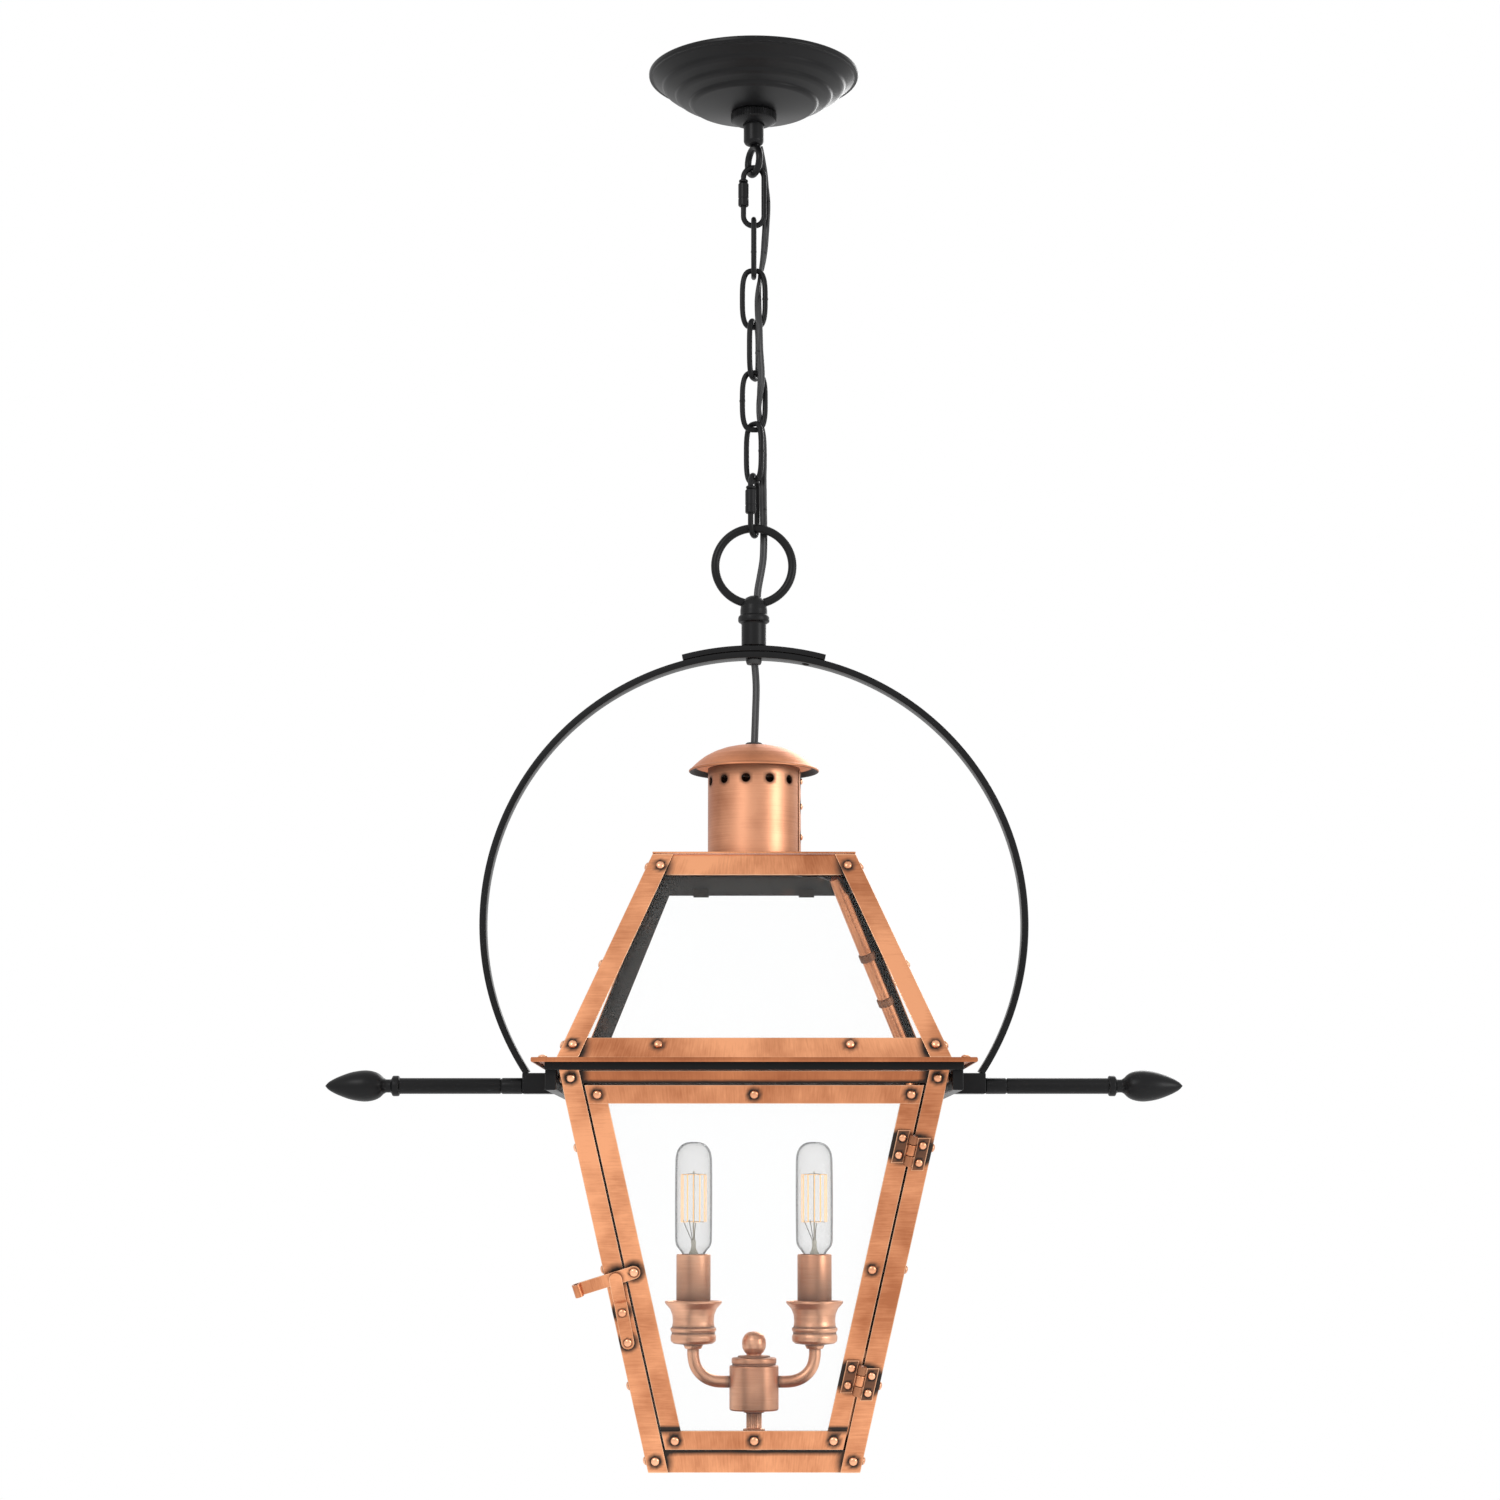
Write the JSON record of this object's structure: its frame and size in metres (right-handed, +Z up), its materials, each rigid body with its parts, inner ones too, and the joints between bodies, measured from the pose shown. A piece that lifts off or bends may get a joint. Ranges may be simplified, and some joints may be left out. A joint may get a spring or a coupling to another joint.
{
  "type": "hanging lantern",
  "caption": "Tapered glass lantern with vented chimney, pyramid roof, hinged door and twin candle lamps, hung by a hoop and side bars from a chain and ceiling canopy",
  "frame": {"origin": "centre of the canopy's rim, on the ceiling plane", "axes": "+Z up out of the ceiling, +X to the hinge side of the door, the door faces -Y"},
  "size_m": [0.586, 0.2854, 0.9739],
  "materials": {
    "black_steel": "satin black powder coat on steel",
    "aged_copper": "brushed copper with a dark patina round the rivets and in the corners",
    "clear_glass": "clear flat glass",
    "lamp_glass": "clear tubular bulb",
    "cord": "flat two-conductor black cord",
    "rubber": "black bushing rubber"
  },
  "bodies": {
    "ceiling_fixing": {"crossbar": "black_steel", "threaded_nipple": "black_steel", "canopy_loop": "black_steel", "cord_upper": "cord"},
    "canopy": {"canopy": "black_steel"},
    "collar": {"canopy_collar": "black_steel"},
    "upper_link": {"upper_quick_link": "black_steel"},
    "upper_nut": {"upper_nut": "black_steel"},
    "link_1": {"chain_link_1": "black_steel"},
    "link_2": {"chain_link_2": "black_steel"},
    "link_3": {"chain_link_3": "black_steel"},
    "link_4": {"chain_link_4": "black_steel"},
    "link_5": {"chain_link_5": "black_steel"},
    "lower_link": {"lower_quick_link": "black_steel"},
    "lower_nut": {"lower_nut": "black_steel"},
    "lantern": {"suspension_hub": "black_steel", "saddle_plate": "black_steel", "hoop": "black_steel", "hoop_bushing": "rubber", "yoke_frame": "black_steel", "side_bar_left": "black_steel", "side_bar_right": "black_steel", "roof_top_rail": "aged_copper", "roof_base_rail": "aged_copper", "roof_hip_back_right": "aged_copper", "roof_hip_back_left": "aged_copper", "roof_hip_front_left": "aged_copper", "roof_hip_front_right": "aged_copper", "roof_glass_front": "clear_glass", "roof_glass_right": "clear_glass", "roof_glass_back": "clear_glass", "roof_glass_left": "clear_glass", "roof_top_plate": "aged_copper", "eave_flange": "aged_copper", "chimney_tube": "aged_copper", "chimney_cap": "aged_copper", "cap_support": "aged_copper", "cap_grommet": "rubber", "body_top_rail": "aged_copper", "body_base_rail": "aged_copper", "post_back_right": "aged_copper", "post_back_left": "aged_copper", "post_front_left": "aged_copper", "post_front_right": "aged_copper", "body_glass_right": "clear_glass", "body_glass_back": "clear_glass", "body_glass_left": "clear_glass", "floor_plate": "aged_copper", "latch_keeper": "aged_copper", "lamp_cluster": "aged_copper", "candle_left": "aged_copper", "candle_right": "aged_copper", "conduit": "aged_copper", "cord_lower": "cord"},
    "door": {"door_frame": "aged_copper", "door_glass": "clear_glass"},
    "latch": {"latch_arm": "aged_copper"},
    "bulb_left": {"bulb_left": "lamp_glass"},
    "bulb_right": {"bulb_right": "lamp_glass"}
  },
  "joints": [
    {"name": "upper_link_swing", "type": "hinge", "parent": "ceiling_fixing", "child": "upper_link", "pos_m": [0, 0, -0.0746], "axis": [0.4226, -0.9063, 0], "range_deg": [-12, 12], "deforming": ["cord_upper"]},
    {"name": "link_1_swing", "type": "hinge", "parent": "upper_link", "child": "link_1", "pos_m": [0, 0, -0.11295], "axis": [1, 0, 0], "range_deg": [-12, 12], "deforming": ["cord_upper"]},
    {"name": "link_2_swing", "type": "hinge", "parent": "link_1", "child": "link_2", "pos_m": [0, 0, -0.15013], "axis": [0, 1, 0], "range_deg": [-12, 12], "deforming": ["cord_upper"]},
    {"name": "link_3_swing", "type": "hinge", "parent": "link_2", "child": "link_3", "pos_m": [0, 0, -0.18732], "axis": [1, 0, 0], "range_deg": [-12, 12], "deforming": ["cord_upper"]},
    {"name": "link_4_swing", "type": "hinge", "parent": "link_3", "child": "link_4", "pos_m": [0, 0, -0.22453], "axis": [0.3746, 0.9272, 0], "range_deg": [-12, 12], "deforming": ["cord_upper"]},
    {"name": "link_5_swing", "type": "hinge", "parent": "link_4", "child": "link_5", "pos_m": [0, 0, -0.26172], "axis": [0.9962, 0.0872, 0], "range_deg": [-12, 12], "deforming": ["cord_upper"]},
    {"name": "lower_link_swing", "type": "hinge", "parent": "link_5", "child": "lower_link", "pos_m": [0, 0, -0.29892], "axis": [0.6428, -0.766, 0], "range_deg": [-12, 12], "deforming": ["cord_upper"]},
    {"name": "lantern_swing", "type": "hinge", "parent": "lower_link", "child": "lantern", "pos_m": [0, 0, -0.33785], "axis": [0.309, 0.9511, 0], "range_deg": [-12, 12], "deforming": ["cord_upper"]},
    {"name": "collar_slide", "type": "slide", "parent": "ceiling_fixing", "child": "collar", "axis": [0, 0, -1], "range_m": [0, 0.012]},
    {"name": "canopy_slide", "type": "slide", "parent": "ceiling_fixing", "child": "canopy", "axis": [0, 0, -1], "range_m": [0, 0.012]},
    {"name": "upper_nut_slide", "type": "slide", "parent": "upper_link", "child": "upper_nut", "axis": [0, 0, -1], "range_m": [0, 0.0066]},
    {"name": "lower_nut_slide", "type": "slide", "parent": "lower_link", "child": "lower_nut", "axis": [0, 0, -1], "range_m": [0, 0.0066]},
    {"name": "bulb_left_lift", "type": "slide", "parent": "lantern", "child": "bulb_left", "axis": [0, 0, 1], "range_m": [0, 0.03]},
    {"name": "bulb_right_lift", "type": "slide", "parent": "lantern", "child": "bulb_right", "axis": [0, 0, 1], "range_m": [0, 0.03]},
    {"name": "door_swing", "type": "hinge", "parent": "lantern", "child": "door", "pos_m": [0.08463, -0.10138, -0.84], "axis": [0.2102, -0.2102, 0.9548], "range_deg": [0, 110]},
    {"name": "latch_turn", "type": "hinge", "parent": "door", "child": "latch", "pos_m": [-0.0777, -0.0975, -0.844], "axis": [0, 0.9766, 0.215], "range_deg": [0, 75]}
  ],
  "couplings": [
    {"joint": "canopy_slide", "follows": "collar_slide", "ratio": 1}
  ]
}
